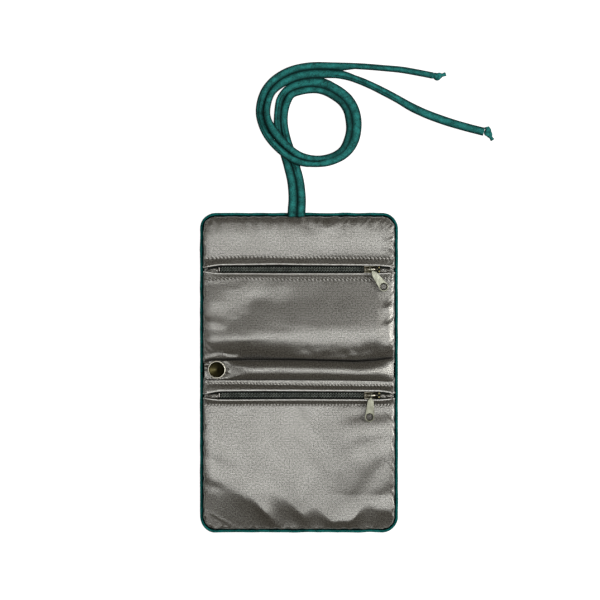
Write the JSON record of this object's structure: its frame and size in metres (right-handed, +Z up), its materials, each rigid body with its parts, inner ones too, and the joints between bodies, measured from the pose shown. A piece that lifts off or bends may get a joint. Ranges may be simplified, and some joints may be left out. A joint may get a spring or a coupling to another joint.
{
  "type": "jewelry roll",
  "caption": "Padded jewelry roll lying open: satin zip pockets either side of a snap-closed ring bar, piped cotton cover and long tie cords with knotted ends.",
  "frame": {"origin": "middle of the underside of the open roll, ties apart", "axes": "+X across the roll to the right, +Y along the roll towards the ties, +Z up off the table"},
  "size_m": [0.223, 0.3563, 0.0126],
  "materials": {
    "satin": "satin sheen",
    "cotton": "plain weave, matte",
    "wadding": "soft fibre",
    "webbing": "woven tape",
    "coil": "semi-gloss nylon",
    "stop_plastic": "glossy",
    "antique_brass": "antique, dark",
    "pull_metal": "pale satin metal"
  },
  "bodies": {
    "spine": {"spine_cover": "cotton", "spine_padding": "wadding", "spine_lining": "satin", "spine_piping_left_cover": "cotton", "spine_piping_left_cord": "wadding", "spine_piping_right_cover": "cotton", "spine_piping_right_cord": "wadding", "snap_stud": "antique_brass", "snap_post": "antique_brass"},
    "upper_panel": {"upper_cover": "cotton", "upper_padding": "wadding", "upper_lining": "satin", "upper_header": "satin", "upper_pocket_front": "satin", "upper_piping_cover": "cotton", "upper_piping_cord": "wadding", "upper_zip_tape_top": "webbing", "upper_zip_tape_bottom": "webbing", "upper_zip_coil_top": "coil", "upper_zip_coil_bottom": "coil", "upper_zip_bottom_stop": "stop_plastic", "upper_zip_top_stop_top": "antique_brass", "upper_zip_top_stop_bottom": "antique_brass", "upper_zip_end_left": "satin", "upper_zip_end_right": "satin", "tie_left": "cotton", "tie_left_knot": "cotton", "tie_right": "cotton", "tie_right_knot": "cotton"},
    "lower_panel": {"lower_cover": "cotton", "lower_padding": "wadding", "lower_lining": "satin", "lower_header": "satin", "lower_pocket_front": "satin", "lower_piping_cover": "cotton", "lower_piping_cord": "wadding", "lower_zip_tape_top": "webbing", "lower_zip_tape_bottom": "webbing", "lower_zip_coil_top": "coil", "lower_zip_coil_bottom": "coil", "lower_zip_bottom_stop": "stop_plastic", "lower_zip_top_stop_top": "antique_brass", "lower_zip_top_stop_bottom": "antique_brass", "lower_zip_end_left": "satin", "lower_zip_end_right": "satin"},
    "ring_bar": {"ring_bar_cover": "satin", "ring_bar_filling": "wadding", "snap_cap": "antique_brass", "snap_socket": "antique_brass"},
    "upper_slider": {"upper_zip_slider": "antique_brass"},
    "upper_pull": {"upper_zip_pull": "pull_metal"},
    "lower_slider": {"lower_zip_slider": "antique_brass"},
    "lower_pull": {"lower_zip_pull": "pull_metal"}
  },
  "joints": [
    {"name": "upper_fold", "type": "hinge", "parent": "spine", "child": "upper_panel", "pos_m": [0, 0.0105, 0.014], "axis": [-1, 0, 0], "range_deg": [-180, 0]},
    {"name": "lower_fold", "type": "hinge", "parent": "spine", "child": "lower_panel", "pos_m": [0, -0.0095, 0.014], "axis": [-1, 0, 0], "range_deg": [0, 179]},
    {"name": "ring_bar_turn", "type": "hinge", "parent": "spine", "child": "ring_bar", "pos_m": [0.0756, 0.002, 0.007], "axis": [0, 1, 0], "range_deg": [0, 180]},
    {"name": "upper_zip_slide", "type": "slide", "parent": "upper_panel", "child": "upper_slider", "axis": [1, 0, 0], "range_m": [-0.108, 0]},
    {"name": "upper_pull_turn", "type": "hinge", "parent": "upper_slider", "child": "upper_pull", "pos_m": [0.0542, 0.0781, 0.00995], "axis": [-0.809, -0.5878, 0], "range_deg": [0, 150]},
    {"name": "lower_zip_slide", "type": "slide", "parent": "lower_panel", "child": "lower_slider", "axis": [1, 0, 0], "range_m": [-0.108, 0]},
    {"name": "lower_pull_turn", "type": "hinge", "parent": "lower_slider", "child": "lower_pull", "pos_m": [0.0542, -0.0169, 0.00995], "axis": [-0.9976, 0.0698, 0], "range_deg": [0, 150]}
  ]
}
